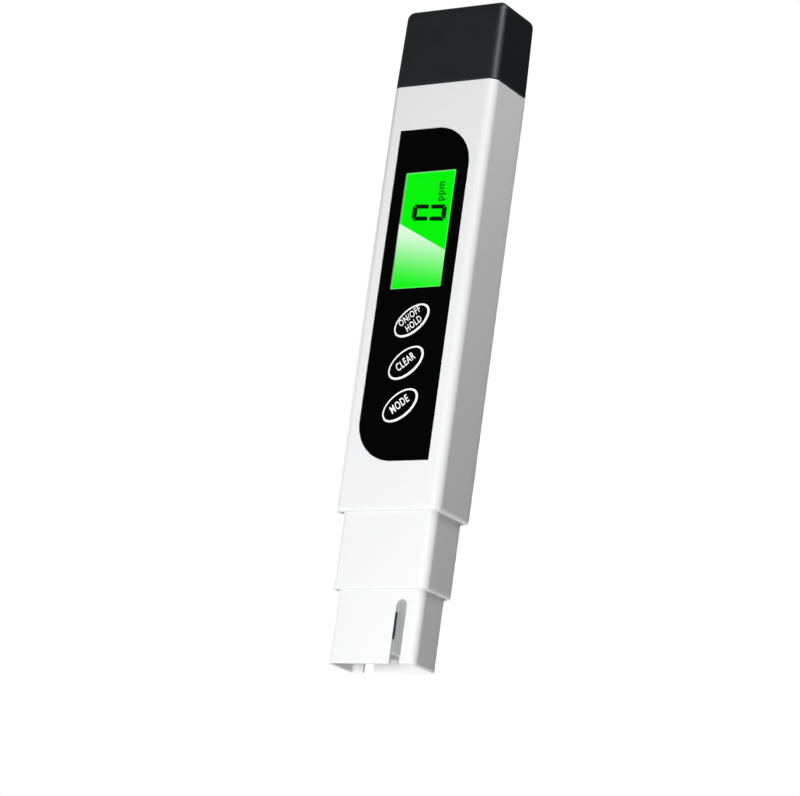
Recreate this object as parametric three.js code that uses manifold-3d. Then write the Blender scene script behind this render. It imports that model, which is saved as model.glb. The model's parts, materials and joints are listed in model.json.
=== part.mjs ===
// Pen-type digital water tester: it reads dissolved solids, conductivity and temperature.
// Millimetres, +Z up, display facing -Y. The origin is the centre of the probe's open lower end.

import * as THREE from "three";
import { mergeVertices } from "three/addons/utils/BufferGeometryUtils.js";
import Module from "manifold-3d";

const wasm = await Module();
wasm.setup();

// ---------------------------------------------------------------- driving dimensions

const BODY_WIDTH = 29.3;
const BODY_DEPTH = 15.8;
const BODY_CORNER = 1.9;

const SHROUD_LENGTH = 17.5; // the part of each section that shows, from the tip up
const COLLAR_LENGTH = 18.4;
const BODY_LENGTH = 106.8;
const CAP_LENGTH = 20.4;

const COLLAR_STEP = 1.4; // how far each section steps in on every side
const SHROUD_STEP = 1.1;
const WALL = 1.5;
const FIT = 0.1; // gap on each side of parts that fit into one another
const GAP = 0.05; // between parts that rest on one another
const SEAM = 0.15; // between the cap's rim and the body's top edge
const CLEAR_CUT = 1; // how far a cutter runs past the surface it opens

const FACE_WIDTH = 20.8; // the black faceplate
const FACE_THICK = 0.45;
const FACE_BELOW_JOINT = 11.7; // its top edge, below the joint between cap and body
const FACE_HEIGHT = 83.2;
const FACE_ROUND = 10.2; // at two opposite corners

const WINDOW_WIDTH = 14.2;
const WINDOW_HEIGHT = 29.4;
const WINDOW_BELOW_JOINT = 22.8;

const KEY_LONG = 5.36; // half axes of an oval key
const KEY_SHORT = 3.25;
const KEY_TILT = THREE.MathUtils.degToRad(36.8);
const KEY_PITCH = 10.48;
const FIRST_KEY_BELOW_JOINT = 60.45;
const KEY_X = 0.45;
const KEY_EDGE = 0.15; // stepped edge round a key's front face
const KEY_NAMES = ["power_hold", "clear", "mode"];

const SLOT_WIDTH = 2.9; // water slots in the shroud
const SLOT_X = 6.85;
const SLOT_BELOW_COLLAR = 2.3;

const CELL_DIAMETER = 11.6; // LR44 button cell
const CELL_HEIGHT = 5.4;
const CELL_X = 6.2;

// ---------------------------------------------------------------- sections and heights

const COLLAR_Z = SHROUD_LENGTH;
const BODY_Z = COLLAR_Z + COLLAR_LENGTH;
const FRONT_Y = -BODY_DEPTH / 2;

const BODY = { width: BODY_WIDTH, depth: BODY_DEPTH, corner: BODY_CORNER };
const COLLAR = inset(BODY, COLLAR_STEP, 1.7);
const SHROUD = inset(COLLAR, SHROUD_STEP, 1.5);
const CAVITY = inset(BODY, WALL, 0.8);
const PLUG = inset(CAVITY, 0.2, 0.7); // the collar's plug and the body's spigot
const SEAL = inset(CAVITY, FIT / 2, 0.8);
const SEAL_SEAT = inset(PLUG, 0.45, 0.5);
const SEAL_HEIGHT = 0.9;

const SOCKET_DEPTH = 1.4; // how far the collar's outside rises into the body
const PLUG_LENGTH = 11.3;
const COLLAR_SEAL_RISE = 6.8;
const SPIGOT_LENGTH = 3; // ring on top of the body that the cap slides over
const SPIGOT_ROOT = 4;
const SPIGOT_BORE = { width: 23.2, depth: 10, corner: 0.6 };
const CAP_SEAL_RISE = 1.1;
const CAP_ROOF = 1.6;
const CAP_TAPER = 0.4;

const FACE_FRONT = FRONT_Y + 0.02;
const FACE_BACK = FACE_FRONT + FACE_THICK;
const POCKET_Y = FACE_BACK + 0.03; // floor of the body's recess for the faceplate

// Heights inside the body are measured from its lower edge.
const FACE_TOP = BODY_LENGTH - FACE_BELOW_JOINT;
const FACE_BOTTOM = FACE_TOP - FACE_HEIGHT;
const WINDOW_Z = BODY_LENGTH - WINDOW_BELOW_JOINT - WINDOW_HEIGHT / 2;
const KEY_HEIGHTS = KEY_NAMES.map((_, index) => BODY_LENGTH - FIRST_KEY_BELOW_JOINT - index * KEY_PITCH);

const BOARD = { front: -1.2, back: -0.2, width: 23, bottom: 14.5, top: 102.3 };
const SCREW_RADIUS = 0.8;
const SCREW_REACH = 3;
const BOARD_SCREWS = [
  [-8.5, 18.8],
  [8.5, 18.8],
  [-8.5, 89.3],
  [8.5, 89.3],
];

const LCD = { front: POCKET_Y + 0.07, width: 16.6, height: 32, sheet: 1.1, ledge: 2.6 };
const LCD_BACK = LCD.front + 2 * LCD.sheet;
const LIGHT_THICK = 2.6;

const FLANGE_WIDER = 0.7;
const FLANGE_THICK = 0.8;
const SWITCH_HALF = 3;
const SWITCH_FRONT = BOARD.front - 3.4;
const STEM_RADIUS = 1.7;
const STEM_FRONT = BOARD.front - 4.3;
const STEM_BACK = BOARD.front - 2.7;
const WELL_FLOOR = BOARD.front - 2.2;

// Heights in the battery bay are measured from the joint between cap and body.
const HOLDER = { width: 25.4, front: -4.6, back: 4.6, bottom: SPIGOT_LENGTH + FIT, top: 16.4 };
const CELL_Z = HOLDER.bottom + 0.7 + CELL_DIAMETER / 2;
const CELL_FRONT = -3.2;
const CELL_BACK = CELL_FRONT + CELL_HEIGHT;
const LEAF_THICK = 0.3;
const LEAF_Y = CELL_BACK + GAP;
const LEAF_TAIL_Z = -2;
const HOLDER_STEM_FRONT = LEAF_Y + LEAF_THICK + 0.25;
const HOLDER_STEM_BOTTOM = -12.5;
const HOLDER_SCREW_Z = -9;

const CARRIER_TOP = COLLAR_Z + 10.6;
const SHROUD_TOP = COLLAR_Z + 11;
const ELECTRODE_X = 3.2;
const ELECTRODE_RADIUS = 1;
const ELECTRODE_TIP = 1.6;
const SENSOR_RADIUS = 1.5;
const SENSOR_TIP = 2.2;
const PIN_TOP = CARRIER_TOP - 1.8;
const LEAD_RADIUS = 0.5;
const STRIP = { width: 0.3, depth: 0.4, setBack: 0.1, bottom: 5.8, top: 12.1 }; // at a slot's inner edge

const CORNER_STEPS = 5;
const EDGE_STEPS = 3;

// ---------------------------------------------------------------- geometry helpers

function inset({ width, depth }, by, corner) {
  return { width: width - 2 * by, depth: depth - 2 * by, corner };
}

// A closed geometry as a manifold-3d solid.
function solid(geometry) {
  const bare = geometry.clone();
  bare.deleteAttribute("normal");
  bare.deleteAttribute("uv");
  const merged = mergeVertices(bare, 1e-4);
  const mesh = new wasm.Mesh({
    numProp: 3,
    vertProperties: merged.attributes.position.array,
    triVerts: new Uint32Array(merged.index.array),
  });
  return new wasm.Manifold(mesh);
}

function geometryOf(manifold) {
  const mesh = manifold.getMesh();
  const geometry = new THREE.BufferGeometry();
  geometry.setAttribute("position", new THREE.BufferAttribute(mesh.vertProperties, 3));
  geometry.setIndex(new THREE.BufferAttribute(mesh.triVerts, 1));
  geometry.computeVertexNormals();
  return geometry;
}

function join(...pieces) {
  return geometryOf(pieces.map(solid).reduce((whole, piece) => whole.add(piece)));
}

function cut(body, ...tools) {
  return geometryOf(tools.map(solid).reduce((left, tool) => left.subtract(tool), solid(body)));
}

// The outline of an upright rounded rectangle, counter-clockwise from above.
function ring({ z, width, depth, corner }) {
  const points = [];
  const quarters = [
    [1, 1],
    [-1, 1],
    [-1, -1],
    [1, -1],
  ];
  quarters.forEach(([sideX, sideY], quarter) => {
    for (let step = 0; step <= CORNER_STEPS; step++) {
      const angle = ((quarter + step / CORNER_STEPS) * Math.PI) / 2;
      const x = sideX * (width / 2 - corner) + corner * Math.cos(angle);
      const y = sideY * (depth / 2 - corner) + corner * Math.sin(angle);
      points.push(x, y, z);
    }
  });
  return points;
}

// A closed solid through rounded-rectangle sections, lowest first.
function loft(sections) {
  const count = 4 * (CORNER_STEPS + 1);
  const faces = [];
  for (let level = 0; level + 1 < sections.length; level++) {
    for (let i = 0; i < count; i++) {
      const a = level * count + i;
      const b = level * count + ((i + 1) % count);
      faces.push(a, b, b + count, a, b + count, a + count);
    }
  }
  const top = (sections.length - 1) * count;
  for (let i = 1; i + 1 < count; i++) {
    faces.push(0, i + 1, i);
    faces.push(top, top + i, top + i + 1);
  }
  const geometry = new THREE.BufferGeometry();
  geometry.setAttribute("position", new THREE.Float32BufferAttribute(sections.flatMap(ring), 3));
  geometry.setIndex(faces);
  geometry.computeVertexNormals();
  return geometry;
}

// An upright rounded bar. It can taper towards the top and have its lower and upper edges rounded.
function bar({ width, depth, corner }, z0, z1, { taper = 0, lowEdge = 0, highEdge = 0 } = {}) {
  const levels = [];
  for (let step = 0; step <= (lowEdge ? EDGE_STEPS : 0); step++) {
    const angle = ((step / EDGE_STEPS) * Math.PI) / 2;
    levels.push({ z: z0 + lowEdge * (1 - Math.cos(angle)), shrink: lowEdge * (1 - Math.sin(angle)) });
  }
  for (let step = highEdge ? 0 : EDGE_STEPS; step <= EDGE_STEPS; step++) {
    const angle = ((step / EDGE_STEPS) * Math.PI) / 2;
    levels.push({ z: z1 - highEdge * (1 - Math.sin(angle)), shrink: highEdge * (1 - Math.cos(angle)) });
  }
  const sections = levels.map(({ z, shrink }) => {
    const narrower = shrink + (taper * (z - z0)) / (z1 - z0);
    return { z, ...inset({ width, depth }, narrower, Math.max(corner - shrink, 0.3)) };
  });
  return loft(sections);
}

function block([x0, x1], [y0, y1], [z0, z1]) {
  const geometry = new THREE.BoxGeometry(x1 - x0, y1 - y0, z1 - z0);
  return geometry.translate((x0 + x1) / 2, (y0 + y1) / 2, (z0 + z1) / 2);
}

// A shape drawn in X and Z, as seen from the front, made solid between two depths.
function facing(shape, yFront, yBack, curveSegments = 12) {
  const options = { depth: yBack - yFront, bevelEnabled: false, curveSegments };
  const geometry = new THREE.ExtrudeGeometry(shape, options);
  return geometry.rotateX(Math.PI / 2).translate(0, yBack, 0);
}

function rodY(radius, [x, z], [y0, y1], segments = 20) {
  return new THREE.CylinderGeometry(radius, radius, y1 - y0, segments).translate(x, (y0 + y1) / 2, z);
}

function rodZ(radius, [x, y], [z0, z1], segments = 20) {
  const geometry = new THREE.CylinderGeometry(radius, radius, z1 - z0, segments);
  return geometry.rotateX(Math.PI / 2).translate(x, y, (z0 + z1) / 2);
}

// A body of revolution from [radius, height] pairs, standing along +Y.
function turned(profile, segments) {
  const points = profile.map(([radius, height]) => new THREE.Vector2(radius, height));
  return new THREE.LatheGeometry(points, segments);
}

function rectangle(width, height, z = 0, corner = 0.3) {
  const x = width / 2 - corner;
  const low = z - height / 2 + corner;
  const high = z + height / 2 - corner;
  const shape = new THREE.Shape();
  shape.absarc(x, low, corner, -Math.PI / 2, 0);
  shape.absarc(x, high, corner, 0, Math.PI / 2);
  shape.absarc(-x, high, corner, Math.PI / 2, Math.PI);
  shape.absarc(-x, low, corner, Math.PI, 1.5 * Math.PI);
  return shape;
}

function oval(grow = 0, x = 0, z = 0) {
  const shape = new THREE.Shape();
  shape.absellipse(x, z, KEY_LONG + grow, KEY_SHORT + grow, 0, 2 * Math.PI, false, KEY_TILT);
  return shape;
}

function wire(...points) {
  const path = new THREE.CatmullRomCurve3(points.map((point) => new THREE.Vector3(...point)));
  const section = new THREE.Shape().absarc(0, 0, LEAD_RADIUS, 0, 2 * Math.PI);
  return new THREE.ExtrudeGeometry(section, { steps: 10, extrudePath: path, curveSegments: 5 });
}

// ---------------------------------------------------------------- materials

function plastic(color, roughness = 0.45) {
  return new THREE.MeshStandardMaterial({ color, roughness, metalness: 0 });
}

function metal(color, roughness = 0.3) {
  return new THREE.MeshStandardMaterial({ color, roughness, metalness: 1 });
}

const WHITE_ABS = plastic("#f4f4f4", 0.35);
const BLACK_ABS = plastic("#1d1f22", 0.4);
const BLACK_GLOSS = plastic("#050505", 0.2);
const INNER_ABS = plastic("#d8d8d4", 0.6);
const RUBBER = plastic("#2a2a2a", 0.9);
const TITANIUM = metal("#a8a49c", 0.35);
const STEEL = metal("#c4c6c8", 0.25);
const NICKEL = metal("#cfc9b8", 0.3);
const BOARD_GREEN = plastic("#1f6b3a", 0.5);
const CHIP_BLACK = plastic("#101012", 0.6);
const LCD_GREEN = new THREE.MeshStandardMaterial({ color: "#22e81a", roughness: 0.3, emissive: "#0c7d08" });
const LIGHT_GUIDE = plastic("#c9f5c2", 0.3);
const CLEAR = new THREE.MeshStandardMaterial({
  color: "#f2fff2",
  roughness: 0.05,
  transparent: true,
  opacity: 0.3,
});
const LEAD_RED = plastic("#b3201c", 0.5);
const LEAD_BLACK = plastic("#161616", 0.5);
const LEAD_WHITE = plastic("#e6e6e2", 0.5);

// ---------------------------------------------------------------- casing

// Faceplate outline: square at top left and bottom right, rounded at the other two corners.
function faceOutline(grow = 0) {
  const side = FACE_WIDTH / 2 + grow;
  const top = FACE_TOP + grow;
  const bottom = FACE_BOTTOM - grow;
  const round = FACE_ROUND + grow;
  const shape = new THREE.Shape();
  shape.moveTo(side, bottom);
  shape.lineTo(side, top - round);
  shape.absarc(side - round, top - round, round, 0, Math.PI / 2);
  shape.lineTo(-side, top);
  shape.absarc(-side + round, bottom + round, round, Math.PI, 1.5 * Math.PI);
  return shape;
}

// The groove that a seal sits in, cut round an upright plug or spigot.
function sealGroove(z) {
  const outside = bar(inset(CAVITY, -0.5, 1), z, z + SEAL_HEIGHT + 2 * GAP);
  return cut(outside, bar(SEAL_SEAT, z - CLEAR_CUT, z + SEAL_HEIGHT + CLEAR_CUT));
}

function seal() {
  const hole = inset(SEAL_SEAT, -GAP, SEAL_SEAT.corner);
  return cut(bar(SEAL, 0, SEAL_HEIGHT), bar(hole, -CLEAR_CUT, SEAL_HEIGHT + CLEAR_CUT));
}

// One-piece white sleeve. It takes the collar from below, and the cap slides over its spigot on top.
function housing() {
  const outside = bar(BODY, 0, BODY_LENGTH, { lowEdge: 0.7, highEdge: 0.25 });
  const spigot = bar(PLUG, BODY_LENGTH - 1, BODY_LENGTH + SPIGOT_LENGTH, { highEdge: 0.3 });
  const socket = inset(COLLAR, -FIT, COLLAR.corner);
  const boreFloor = BODY_LENGTH - SPIGOT_ROOT;
  const throughFront = [FRONT_Y - CLEAR_CUT, FRONT_Y + WALL + CLEAR_CUT];
  const displayHole = rectangle(LCD.width + 4 * FIT, LCD.height + 4 * FIT, WINDOW_Z);
  const keyHoles = KEY_HEIGHTS.map((z) => oval(FLANGE_WIDER + 2 * FIT, KEY_X, z));
  return cut(
    join(outside, spigot),
    bar(CAVITY, -CLEAR_CUT, boreFloor),
    bar(SPIGOT_BORE, boreFloor - CLEAR_CUT, BODY_LENGTH + SPIGOT_LENGTH + CLEAR_CUT),
    bar(socket, -CLEAR_CUT, SOCKET_DEPTH),
    sealGroove(BODY_LENGTH + CAP_SEAL_RISE),
    facing(faceOutline(FIT), FRONT_Y - CLEAR_CUT, POCKET_Y),
    facing(displayHole, ...throughFront),
    ...keyHoles.map((shape) => facing(shape, ...throughFront)),
  );
}

function batteryCap() {
  const outside = bar(BODY, SEAM, CAP_LENGTH, { taper: CAP_TAPER, lowEdge: 0.2, highEdge: 1.5 });
  const room = inset(CAVITY, -0.025, CAVITY.corner);
  return cut(outside, bar(room, -CLEAR_CUT, CAP_LENGTH - CAP_ROOF));
}

function faceplate() {
  const openings = [
    rectangle(WINDOW_WIDTH + FIT, WINDOW_HEIGHT + FIT, WINDOW_Z),
    ...KEY_HEIGHTS.map((z) => oval(FIT, KEY_X, z)),
  ];
  const cutters = openings.map((shape) => facing(shape, FACE_FRONT - CLEAR_CUT, FACE_BACK + CLEAR_CUT));
  return cut(facing(faceOutline(), FACE_FRONT, FACE_BACK), ...cutters);
}

// ---------------------------------------------------------------- keys and switches

// Oval key: a cap in the faceplate's opening, a flange behind it and a pip that meets the switch.
function keycap() {
  const flangeFront = POCKET_Y + GAP;
  const flangeBack = flangeFront + FLANGE_THICK;
  return join(
    facing(oval(-KEY_EDGE), FACE_FRONT, flangeFront, 16),
    facing(oval(), FACE_FRONT + KEY_EDGE, flangeFront + FIT, 16),
    facing(oval(FLANGE_WIDER), flangeFront, flangeBack, 16),
    rodY(1.2, [0, 0], [flangeBack - FIT, STEM_FRONT - GAP], 16),
  );
}

function switchBase() {
  const across = [-SWITCH_HALF, SWITCH_HALF];
  const body = block(across, [SWITCH_FRONT, BOARD.front - GAP], across);
  return cut(body, rodY(STEM_RADIUS + FIT, [0, 0], [SWITCH_FRONT - CLEAR_CUT, WELL_FLOOR], 16));
}

function switchPlunger() {
  return rodY(STEM_RADIUS, [0, 0], [STEM_FRONT, STEM_BACK], 16);
}

// ---------------------------------------------------------------- display, drawn round its centre

function displayWindow() {
  return facing(rectangle(WINDOW_WIDTH, WINDOW_HEIGHT), FACE_FRONT, FACE_BACK);
}

// Two sheets of glass. The rear one is longer at the bottom, and its ledge carries the contacts.
function lcdGlass() {
  const across = [-LCD.width / 2, LCD.width / 2];
  const tall = [-LCD.height / 2, LCD.height / 2];
  return join(
    block(across, [LCD.front, LCD.front + LCD.sheet + GAP], [tall[0] + 0.6, tall[1]]),
    block(across, [LCD.front + LCD.sheet, LCD_BACK], tall),
  );
}

function lcdBacklight() {
  const back = LCD_BACK + GAP + LIGHT_THICK;
  const high = LCD.height / 2 - 0.6;
  const across = [-LCD.width / 2, LCD.width / 2];
  const sheet = block(across, [LCD_BACK + GAP, back], [LCD.ledge - LCD.height / 2, high]);
  const notchForLed = block([-1.7, 1.7], [back - 1.4, back + CLEAR_CUT], [high - 1.4, high + CLEAR_CUT]);
  return cut(sheet, notchForLed);
}

function lcdFoamPad() {
  const tall = [LCD.ledge - LCD.height / 2, LCD.height / 2 - 3];
  return block([-7.4, 7.4], [LCD_BACK + LIGHT_THICK + 2 * GAP, BOARD.front - GAP], tall);
}

function lcdConnector() {
  const low = 0.2 - LCD.height / 2;
  return block([-7.8, 7.8], [LCD_BACK + GAP, BOARD.front - GAP], [low, low + 2]);
}

function backlightLed() {
  const top = LCD.height / 2 - 0.3;
  return block([-1.5, 1.5], [BOARD.front - 1.3, BOARD.front - GAP], [top - 1.5, top]);
}

// ---------------------------------------------------------------- electronics

function mainBoard() {
  const outline = rectangle(BOARD.width, BOARD.top - BOARD.bottom, (BOARD.top + BOARD.bottom) / 2, 1);
  const through = [BOARD.front - CLEAR_CUT, BOARD.back + CLEAR_CUT];
  const places = [...BOARD_SCREWS, [0, BODY_LENGTH + HOLDER_SCREW_Z]];
  const holes = places.map((place) => rodY(SCREW_RADIUS + FIT, place, through));
  return cut(facing(outline, BOARD.front, BOARD.back, 8), ...holes);
}

// Drop of epoxy over the processor.
function controllerChip() {
  const radius = 5;
  const height = 1.4;
  const steps = 5;
  const profile = [[0, 0]];
  for (let step = 0; step < steps; step++) {
    const angle = ((step / steps) * Math.PI) / 2;
    profile.push([radius * Math.cos(angle), height * Math.sin(angle)]);
  }
  profile.push([0, height]);
  return turned(profile, 24);
}

// Cross-head screw; the board's front face is at y = 0.
function screw() {
  const head = rodY(1.5, [0, 0], [-1.05, -GAP]);
  const shank = rodY(SCREW_RADIUS, [0, 0], [-FIT, BOARD.back - BOARD.front + SCREW_REACH]);
  const arm = [-0.9, 0.9];
  const blade = [-0.18, 0.18];
  const depth = [-2, -0.55];
  return cut(join(head, shank), block(arm, depth, blade), block(blade, depth, arm));
}

function pilotHole(place) {
  return rodY(SCREW_RADIUS + GAP, place, [BOARD.back - CLEAR_CUT, BOARD.back + SCREW_REACH + 0.4]);
}

// Back tray that carries the board on four bosses.
function chassis() {
  const plate = { front: 5, back: 6.3, bottom: PLUG_LENGTH + 0.3, top: 92.8, half: 12.2 };
  const tall = [plate.bottom, plate.top];
  const rails = [-1, 1].map((side) => {
    const x = side * 11.6;
    return block([x - 0.6, x + 0.6], [0.6, plate.back], tall);
  });
  const bosses = BOARD_SCREWS.map((place) => rodY(2, place, [BOARD.back + GAP, plate.front + FIT]));
  const sheet = block([-plate.half, plate.half], [plate.front, plate.back], tall);
  return cut(join(sheet, ...rails, ...bosses), ...BOARD_SCREWS.map(pilotHole));
}

// ---------------------------------------------------------------- battery bay

// U-shaped pocket of one cell, open at the top of the holder, with a slot below for the leaf's tail.
function cellPocket(x) {
  const radius = CELL_DIAMETER / 2 + 0.2;
  const y = [CELL_FRONT - 0.4, LEAF_Y + LEAF_THICK + GAP];
  const tail = block([x - 1.2, x + 1.2], [LEAF_Y - FIT, y[1]], [HOLDER.bottom - CLEAR_CUT, CELL_Z]);
  const bowl = rodY(radius, [x, CELL_Z], y, 32);
  const mouth = block([x - radius, x + radius], y, [CELL_Z, HOLDER.top + CLEAR_CUT]);
  return join(bowl, mouth, tail);
}

function batteryHolder() {
  const size = { width: HOLDER.width, depth: HOLDER.back - HOLDER.front, corner: 0.8 };
  const head = bar(size, HOLDER.bottom, HOLDER.top, { highEdge: 0.4 });
  const stem = block(
    [-9.5, 9.5],
    [HOLDER_STEM_FRONT, HOLDER.back],
    [HOLDER_STEM_BOTTOM, HOLDER.bottom + FIT],
  );
  const boss = rodY(2, [0, HOLDER_SCREW_Z], [BOARD.back + GAP, HOLDER_STEM_FRONT + FIT]);
  const linkSlot = block([-9.2, 9.2], [CELL_FRONT - 0.4, CELL_FRONT], [CELL_Z - 2.6, CELL_Z + 2.6]);
  const cutters = [-CELL_X, CELL_X].flatMap((x) => {
    const peephole = rodY(3.8, [x, CELL_Z], [HOLDER.front - CLEAR_CUT, 0], 28);
    return [cellPocket(x), peephole];
  });
  return cut(join(head, stem, boss), linkSlot, pilotHole([0, HOLDER_SCREW_Z]), ...cutters);
}

// Button cell standing along +Y on its wide positive face.
function buttonCell() {
  const radius = CELL_DIAMETER / 2;
  const profile = [
    [0, 0],
    [radius - 0.4, 0],
    [radius, 0.4],
    [radius, CELL_HEIGHT - 0.7],
    [radius - 0.5, CELL_HEIGHT - 0.3],
    [radius - 1, CELL_HEIGHT - 0.45],
    [radius - 1.3, CELL_HEIGHT],
    [0, CELL_HEIGHT],
  ];
  return turned(profile, 36);
}

// Leaf behind a cell, with a tail that runs down in front of the holder's stem.
function batteryContact() {
  const y = [0, LEAF_THICK];
  return join(block([-2.5, 2.5], y, [-3.5, 3.5]), block([-1, 1], y, [LEAF_TAIL_Z - CELL_Z, -3.4]));
}

function batteryLinkStrip() {
  return block([-9, 9], [-LEAF_THICK, 0], [-2.4, 2.4]);
}

// Lead from a contact's tail to the back of the board.
function batteryLead(x) {
  const boardTop = BOARD.top - BODY_LENGTH;
  return wire(
    [x, LEAF_Y - 0.6, LEAF_TAIL_Z + 1.5],
    [x, LEAF_Y - 0.8, LEAF_TAIL_Z - 1.5],
    [x * 0.9, BOARD.back + 0.8, boardTop - 2],
    [x * 0.9, BOARD.back + 0.6, boardTop - 5],
  );
}

// ---------------------------------------------------------------- probe, drawn in place from the tip up

// White neck: its plug is sealed in the body, and the shroud is held in its lower end.
function probeCollar() {
  const room = inset(SHROUD, -FIT, SHROUD.corner);
  const wireway = { width: 17, depth: 6.6, corner: 0.8 };
  const plugTop = BODY_Z + PLUG_LENGTH;
  const neck = bar(COLLAR, COLLAR_Z, BODY_Z + SOCKET_DEPTH - 0.2, { lowEdge: 0.6 });
  const plug = bar(PLUG, BODY_Z + 1, plugTop, { highEdge: 0.3 });
  return cut(
    join(neck, plug),
    bar(room, COLLAR_Z - CLEAR_CUT, SHROUD_TOP + 0.2),
    bar(wireway, SHROUD_TOP - CLEAR_CUT, plugTop + CLEAR_CUT),
    sealGroove(BODY_Z + COLLAR_SEAL_RISE),
  );
}

function slotOutline(x) {
  const radius = SLOT_WIDTH / 2;
  const shape = new THREE.Shape();
  shape.moveTo(x - radius, -CLEAR_CUT);
  shape.lineTo(x + radius, -CLEAR_CUT);
  shape.absarc(x, COLLAR_Z - SLOT_BELOW_COLLAR - radius, radius, 0, Math.PI);
  return shape;
}

// Open-ended guard round the electrodes, with one water slot in front and one behind.
function probeShroud() {
  const side = 1.2;
  const face = 0.8;
  const half = SHROUD.depth / 2;
  const room = { width: SHROUD.width - 2 * side, depth: SHROUD.depth - 2 * face, corner: 0.8 };
  return cut(
    bar(SHROUD, 0, SHROUD_TOP, { lowEdge: 0.5 }),
    bar(room, -CLEAR_CUT, SHROUD_TOP + CLEAR_CUT),
    facing(slotOutline(SLOT_X), -half - CLEAR_CUT, -half + face + CLEAR_CUT),
    facing(slotOutline(-SLOT_X), half - face - CLEAR_CUT, half + CLEAR_CUT),
  );
}

// Insulating block: a plug that closes the shroud, and a narrower nose between the slots.
function electrodeCarrier() {
  const nose = { side: 5.45, face: 4.3, bottom: 2.9 };
  const plugSize = { width: SHROUD.width - 2.6, depth: SHROUD.depth - 1.8, corner: 0.7 };
  const shoulder = COLLAR_Z - SLOT_BELOW_COLLAR + 0.3;
  const plug = bar(plugSize, shoulder, CARRIER_TOP);
  const noseBlock = block([-nose.side, nose.side], [-nose.face, nose.face], [nose.bottom, shoulder + FIT]);
  const bores = [
    [-ELECTRODE_X, ELECTRODE_RADIUS],
    [0, SENSOR_RADIUS],
    [ELECTRODE_X, ELECTRODE_RADIUS],
  ].map(([x, radius]) => rodZ(radius + GAP, [x, 0], [0, CARRIER_TOP + CLEAR_CUT]));
  return cut(join(plug, noseBlock), ...bores);
}

// Thin electrode strip, drawn with its outer front corner at the origin.
function slotElectrode() {
  return block([0, STRIP.width], [0, STRIP.depth], [STRIP.bottom, STRIP.top]);
}

// Round-nosed metal pin, standing on its nose.
function pin(radius, length) {
  const nose = 0.45 * radius;
  const profile = [
    [0, 0],
    [radius - nose, 0],
    [radius - 0.3 * nose, 0.3 * nose],
    [radius, nose],
    [radius, length],
    [0, length],
  ];
  return turned(profile, 24).rotateX(Math.PI / 2);
}

// Lead from the top of a pin, up through the collar, to the back of the board.
function probeLead() {
  const boardBottom = BODY_Z + BOARD.bottom;
  return wire(
    [0, 0, PIN_TOP + FIT],
    [0, 0, CARRIER_TOP + 6],
    [0, 0.4, boardBottom - 4],
    [0, BOARD.back + 0.6, boardBottom + 1],
    [0, BOARD.back + 0.6, boardBottom + 4],
  );
}

// ---------------------------------------------------------------- assembly

function group(parent, x = 0, y = 0, z = 0) {
  const child = new THREE.Group();
  child.position.set(x, y, z);
  parent.add(child);
  return child;
}

function add(parent, name, geometry, material, [x, y, z] = [0, 0, 0]) {
  const mesh = new THREE.Mesh(geometry, material.clone());
  mesh.name = name;
  mesh.position.set(x, y, z);
  parent.add(mesh);
  return mesh;
}

const tester = new THREE.Group();
const body = group(tester, 0, 0, BODY_Z);
const cap = group(body, 0, 0, BODY_LENGTH);
const battery = group(body, 0, 0, BODY_LENGTH);
const display = group(body, 0, 0, WINDOW_Z);
const probe = group(tester);

add(body, "housing", housing(), WHITE_ABS);
add(body, "faceplate", faceplate(), BLACK_GLOSS);
add(body, "cap_seal", seal(), RUBBER, [0, 0, BODY_LENGTH + CAP_SEAL_RISE + GAP]);
add(cap, "battery_cap", batteryCap(), BLACK_ABS);

KEY_NAMES.forEach((name, index) => {
  const key = group(body, KEY_X, 0, KEY_HEIGHTS[index]);
  add(key, `${name}_key`, keycap(), BLACK_ABS);
  add(key, `${name}_switch_plunger`, switchPlunger(), CHIP_BLACK);
  add(key, `${name}_switch_base`, switchBase(), STEEL);
});

add(display, "lcd_window", displayWindow(), CLEAR);
add(display, "lcd_glass", lcdGlass(), LCD_GREEN);
add(display, "lcd_backlight", lcdBacklight(), LIGHT_GUIDE);
add(display, "lcd_foam_pad", lcdFoamPad(), RUBBER);
add(display, "lcd_connector", lcdConnector(), RUBBER);
add(display, "backlight_led", backlightLed(), INNER_ABS);

add(body, "main_board", mainBoard(), BOARD_GREEN);
add(body, "controller_chip", controllerChip(), CHIP_BLACK, [0, BOARD.back + GAP, WINDOW_Z]);
add(body, "amplifier_chip", new THREE.BoxGeometry(5, 1.55, 4), CHIP_BLACK, [0, BOARD.back + 0.825, 34.3]);
add(body, "timing_crystal", rodZ(1, [0, 0], [0, 6], 16), STEEL, [7.5, BOARD.back + 1.1, 48.3]);
add(body, "chassis", chassis(), INNER_ABS);
BOARD_SCREWS.forEach(([x, z], index) => {
  add(body, `board_screw_${index + 1}`, screw(), STEEL, [x, BOARD.front, z]);
});

add(battery, "battery_holder", batteryHolder(), INNER_ABS);
add(battery, "holder_screw", screw(), STEEL, [0, BOARD.front, HOLDER_SCREW_Z]);
add(battery, "battery_link_strip", batteryLinkStrip(), NICKEL, [0, CELL_FRONT - GAP, CELL_Z]);
const cellFacingFront = add(battery, "battery_cell_1", buttonCell(), NICKEL, [CELL_X, CELL_BACK, CELL_Z]);
cellFacingFront.rotation.x = Math.PI;
add(battery, "battery_cell_2", buttonCell(), NICKEL, [-CELL_X, CELL_FRONT, CELL_Z]);
add(battery, "battery_contact_positive", batteryContact(), NICKEL, [CELL_X, LEAF_Y, CELL_Z]);
add(battery, "battery_contact_negative", batteryContact(), NICKEL, [-CELL_X, LEAF_Y, CELL_Z]);
add(battery, "battery_lead_positive", batteryLead(CELL_X), LEAD_RED);
add(battery, "battery_lead_negative", batteryLead(-CELL_X), LEAD_BLACK);

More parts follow.
